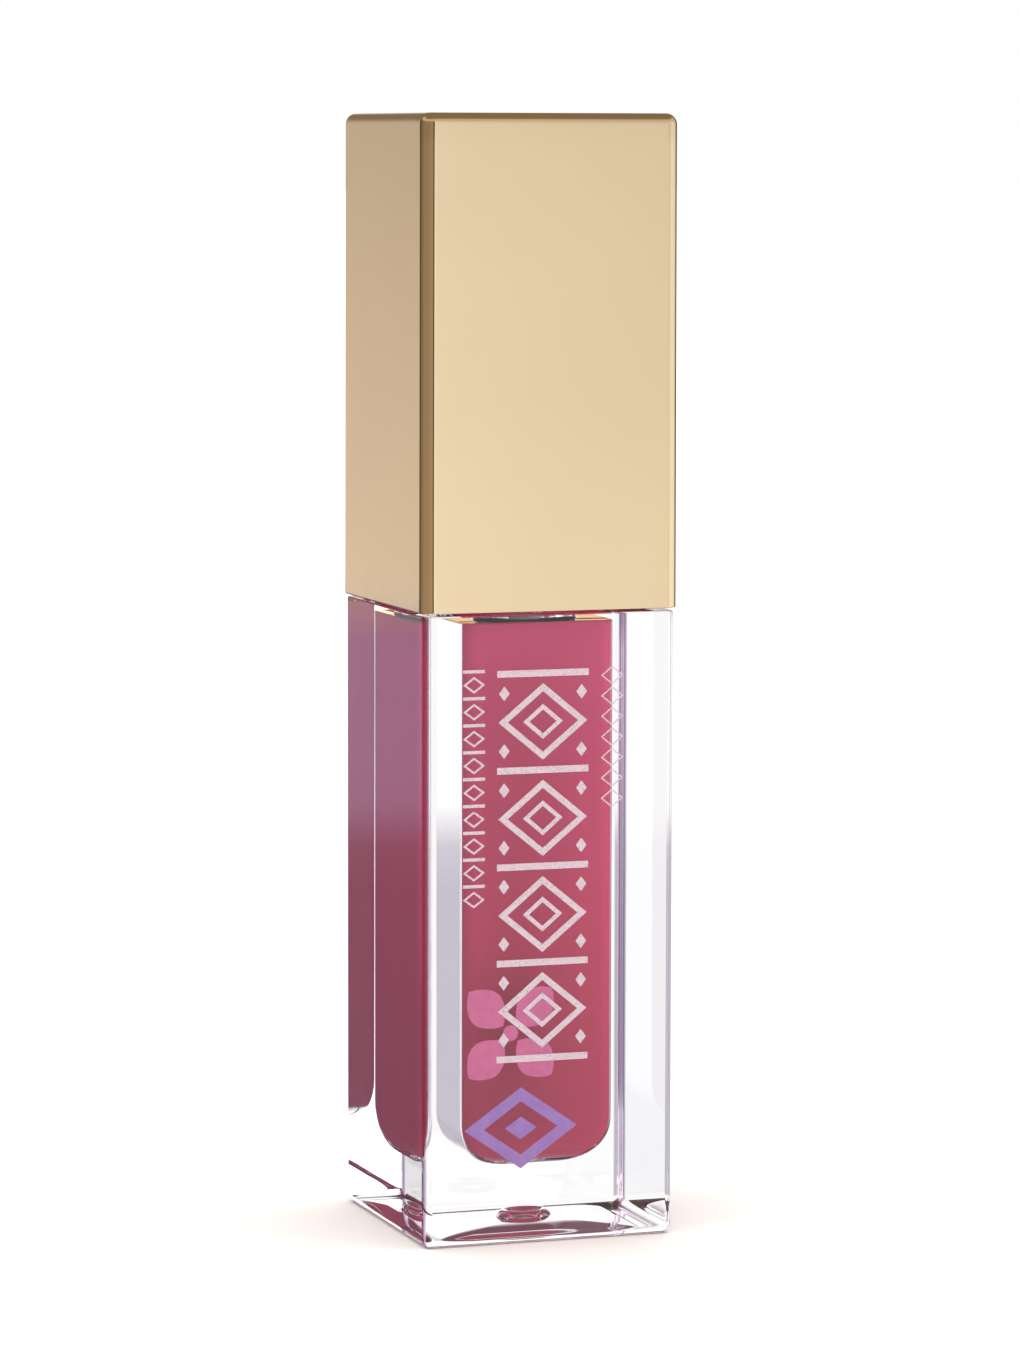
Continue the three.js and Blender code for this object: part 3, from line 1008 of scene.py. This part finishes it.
def make_floor():
    """A pale sheet. Glass and metal see the studio's own lower half in its place."""
    reach = FLOOR_REACH
    corners = [(-reach, -reach, 0), (reach, -reach, 0), (reach, reach, 0), (-reach, reach, 0)]
    mesh = bpy.data.meshes.new("floor")
    mesh.from_pydata(corners, [], [(0, 1, 2, 3)])
    floor = bpy.data.objects.new("floor", mesh)
    bpy.context.scene.collection.objects.link(floor)
    made, tree, shader = new_material("floor_paper")
    shade = ramp(tree, noise(tree, FLOOR_MOTTLING), [(0.3, 0.90), (0.7, 0.92)])
    connect(tree, shade, shader.inputs["Base Color"])
    shader.inputs["Roughness"].default_value = 0.9
    shader.inputs["Specular IOR Level"].default_value = 0.0
    mesh.materials.append(made)
    floor.visible_glossy = False
    floor.visible_transmission = False


def make_sun():
    """A broad overhead light for what scatters it; mirrors and glass see the studio instead."""
    data = bpy.data.lights.new("overhead", "SUN")
    data.energy = SUN_STRENGTH
    data.angle = SUN_SPREAD
    light = bpy.data.objects.new("overhead", data)
    bpy.context.scene.collection.objects.link(light)
    light.visible_glossy = False
    light.visible_transmission = False


# ---- The studio, which mirrors and the clear wall see in place of the floor and the overhead light ----
#
# It is two maps and not one room. A ray that has come out of the clear wall sees REFRACTED. Any
# other ray but the camera's sees MIRRORED: metal, the wall's polished outside, and all that scatters light.
# A direction is a turn in degrees from the front, positive towards +X, and a height on a unit sphere. A plain
# number is a grey.


def turn_place(degrees):
    """A turn's place on a ramp that runs once round the object, from behind to behind."""
    return 0.5 + degrees / 360


def around(stops):
    """A ramp's stops from (degrees, colour) ones."""
    return [(turn_place(degrees), colour) for degrees, colour in stops]


def upright(stops):
    """A ramp's stops from (height, colour) ones."""
    return [(0.5 + height / 2, colour) for height, colour in stops]


# From behind, past the left side to the front, and past the right side to behind again: a cream backdrop,
# a dark bar, a dim tan side, a thin dark bar, bright panels, a dark stretch and the backdrop
MIRRORED = around([
    (-180, (1.0, 0.90, 0.81)), (-163, (0.99, 0.88, 0.79)), (-156, (0.80, 0.71, 0.62)),
    (-152, 0.05), (-143, 0.05),
    (-135, (0.25, 0.19, 0.13)), (-110, (0.32, 0.25, 0.18)), (-85, (0.40, 0.32, 0.24)),
    (-46, (0.40, 0.32, 0.23)), (-9, (0.48, 0.37, 0.27)), (1, (0.48, 0.37, 0.27)),
    (5, 0.04), (9, 0.05),
    (12, 1.25), (16, 1.15), (20, 1.0), (30, (0.98, 0.93, 0.82)), (42, 1.2), (80, 1.1), (98, 0.5),
    (106, 0.12), (130, 0.12),
    (145, 1.0), (180, (1.0, 0.90, 0.81)),
])
# The same way round: a white backdrop, a grey bar, a lilac side, a very bright panel, a violet bar and the
# backdrop
REFRACTED = around([
    (-180, 1.0), (-157, 1.0),
    (-150, (0.55, 0.48, 0.57)), (-142, (0.50, 0.42, 0.53)),
    (-120, (0.80, 0.68, 0.82)), (-100, (1.15, 0.96, 1.12)), (-75, (1.15, 0.96, 1.12)),
    (-50, (0.85, 0.70, 0.80)), (-25, (0.80, 0.68, 0.76)),
    (0, 1.2), (20, 2.6), (50, 2.8), (70, 1.2),
    (95, (0.30, 0.25, 0.42)), (120, (0.40, 0.33, 0.52)),
    (140, 1.0), (180, 1.0),
])

# What the maps above are multiplied by at each height: in front and at the sides, and behind
MIRRORED_FRONT = upright([(-1, 1.0), (-0.09, 1.05), (0.01, 0.90), (0.06, 0.82), (0.35, 0.80), (1, 0.60)])
MIRRORED_BEHIND = upright([
    (-1, (0.20, 0.25, 0.34)), (-0.134, (0.20, 0.25, 0.34)),
    (-0.124, (0.55, 0.64, 0.97)), (-0.094, (0.55, 0.64, 0.97)),
    (-0.088, 0.90), (0.0, 0.66), (0.1, 0.55), (0.4, 0.3), (1, 0.1),
])
REFRACTED_FRONT = upright([(-1, 1.0), (0.1, 1.0), (0.35, 1.25), (0.6, 0.8), (1, 0.5)])
REFRACTED_BEHIND = upright([(-1, 0.6), (-0.134, (0.47, 0.44, 0.50)), (-0.126, 1.0), (0.2, 1.0), (1, 0.5)])

# Where each map takes its heights from behind: 1 there, and 0 elsewhere
MIRRORED_BACK = around([(-180, 1.0), (-153, 1.0), (-145, 0.0), (168, 0.0), (176, 1.0)])
REFRACTED_BACK = around([(-180, 1.0), (-135, 1.0), (-125, 0.0), (171, 0.0), (179, 1.0)])
BACK_EDGE = (-161.3, -160.3)  # the degrees over which the refracted back fades, too close for a ramp's stops
BACK_AFTER_EDGE = 0.15  # the share of it that is left past that edge
BACK_RETURN = (100, 150)  # the degrees over which it comes back in full, so that it meets itself behind

# Colours laid over the maps, each fading in between two heights, and some only in the directions given
CEILING = dict(colour=(0.70, 0.61, 0.50), start=0.25, full=0.55)
HIGH_BEHIND = dict(
    colour=(0.26, 0.195, 0.13), start=0.1, full=0.3,
    directions=around([(-180, 1.0), (-152, 1.0), (-142, 0.0), (95, 0.0), (120, 1.0), (180, 1.0)]),
)
OVERHEAD = dict(colour=(0.28, 0.21, 0.145), start=0.62, full=0.84)
LOW_LEFT = dict(
    colour=(0.20, 0.155, 0.29), start=0.02, full=-0.17,
    directions=around([(-150, 0.0), (-140, 1.0), (-75, 1.0), (-60, 0.0)]),
)
UPPER_BEHIND = dict(
    colour=(0.13, 0.032, 0.06), start=0.32, full=0.46,
    directions=around([(-180, 1.0), (-150, 1.0), (-142, 0.0), (130, 0.0), (140, 1.0), (180, 1.0)]),
)
WHITE = (1.0, 1.0, 1.0)


def studio_walls(tree, place, colours, back, front_heights, behind_heights):
    """Colours by direction, multiplied by what the height calls for, which differs behind."""
    share, z = place
    height = calc(tree, "MULTIPLY_ADD", z, 0.5, 0.5)
    level = mix_colour(tree, back, ramp(tree, height, front_heights), ramp(tree, height, behind_heights))
    return mix_colour(tree, 1.0, ramp(tree, share, colours), level, "MULTIPLY")


def laid_over(tree, place, under, colour, start, full, directions=None):
    """A colour laid over another: not at start, fully at full, and only in the directions given."""
    share, z = place
    amount = mapped(tree, z, start, full, 0.0, 1.0, True)
    if directions:
        amount = calc(tree, "MULTIPLY", ramp(tree, share, directions), amount)
    return mix_colour(tree, amount, under, colour)


def mirrored_studio(tree, place):
    """The walls, a ceiling, a dim upper wall behind, and a dim patch straight overhead."""
    back = ramp(tree, place[0], MIRRORED_BACK)
    studio = studio_walls(tree, place, MIRRORED, back, MIRRORED_FRONT, MIRRORED_BEHIND)
    for layer in (CEILING, HIGH_BEHIND, OVERHEAD):
        studio = laid_over(tree, place, studio, **layer)
    return studio


def refracted_studio(tree, place):
    """The walls, lavender low on the left, and dark wine high behind."""
    share = place[0]
    edge_start, edge_end = [turn_place(degrees) for degrees in BACK_EDGE]
    return_start, return_end = [turn_place(degrees) for degrees in BACK_RETURN]
    past_edge = mapped(tree, share, edge_start, edge_end, 1.0, BACK_AFTER_EDGE, True)
    returned = mapped(tree, share, return_start, return_end, 0.0, 1.0)
    kept = calc(tree, "MAXIMUM", past_edge, returned)
    back = calc(tree, "MULTIPLY", ramp(tree, share, REFRACTED_BACK), kept)
    studio = studio_walls(tree, place, REFRACTED, back, REFRACTED_FRONT, REFRACTED_BEHIND)
    for layer in (LOW_LEFT, UPPER_BEHIND):
        studio = laid_over(tree, place, studio, **layer)
    return studio


def make_world():
    """The camera sees white paper, and other rays see the studio."""
    world = bpy.data.worlds.new("studio")
    bpy.context.scene.world = world
    world.use_nodes = True
    tree = world.node_tree
    split = tree.nodes.new("ShaderNodeSeparateXYZ")
    connect(tree, tree.nodes.new("ShaderNodeTexCoord").outputs["Generated"], split.inputs["Vector"])
    x, y, z = split.outputs
    turn = calc(tree, "ARCTAN2", x, calc(tree, "MULTIPLY", y, -1.0))
    place = (calc(tree, "MULTIPLY_ADD", turn, 1 / TURN, 0.5), z)
    rays = tree.nodes.new("ShaderNodeLightPath")
    mirrored = mirrored_studio(tree, place)
    refracted = refracted_studio(tree, place)
    studio = mix_colour(tree, rays.outputs["Is Transmission Ray"], mirrored, refracted)
    seen = mix_colour(tree, rays.outputs["Is Camera Ray"], studio, WHITE)
    connect(tree, seen, tree.nodes["Background"].inputs["Color"])


def build_pieces():
    natural = moulded("natural_plastic", (0.70, 0.67, 0.63), (0.78, 0.75, 0.71), 0.42)
    white = moulded("white_plastic", (0.80, 0.78, 0.76), (0.86, 0.84, 0.82), 0.38)
    golden = moulded("gold_plastic", (0.55, 0.27, 0.085), (0.66, 0.36, 0.13), 0.35, 0.4)
    build_bottle(clear_plastic())
    build_gloss(pink_gloss())
    build_wiper(natural)
    build_shell(gold_plating())
    build_insert(golden)
    build_washer(washer_foam())
    build_rod(white)
    build_applicator_core(natural)
    build_flock(flock_fibre())
    build_silver(silver_foil())
    build_pink_print(printed_ink("pink_ink", srgb("B85E8B"), srgb("C26994")))
    build_lavender_print(printed_ink("lavender_ink", srgb("8F6CB6"), srgb("9878B8")))


make_camera()
make_floor()
make_sun()
make_world()
bpy.context.scene.view_settings.view_transform = "Standard"
build_pieces()
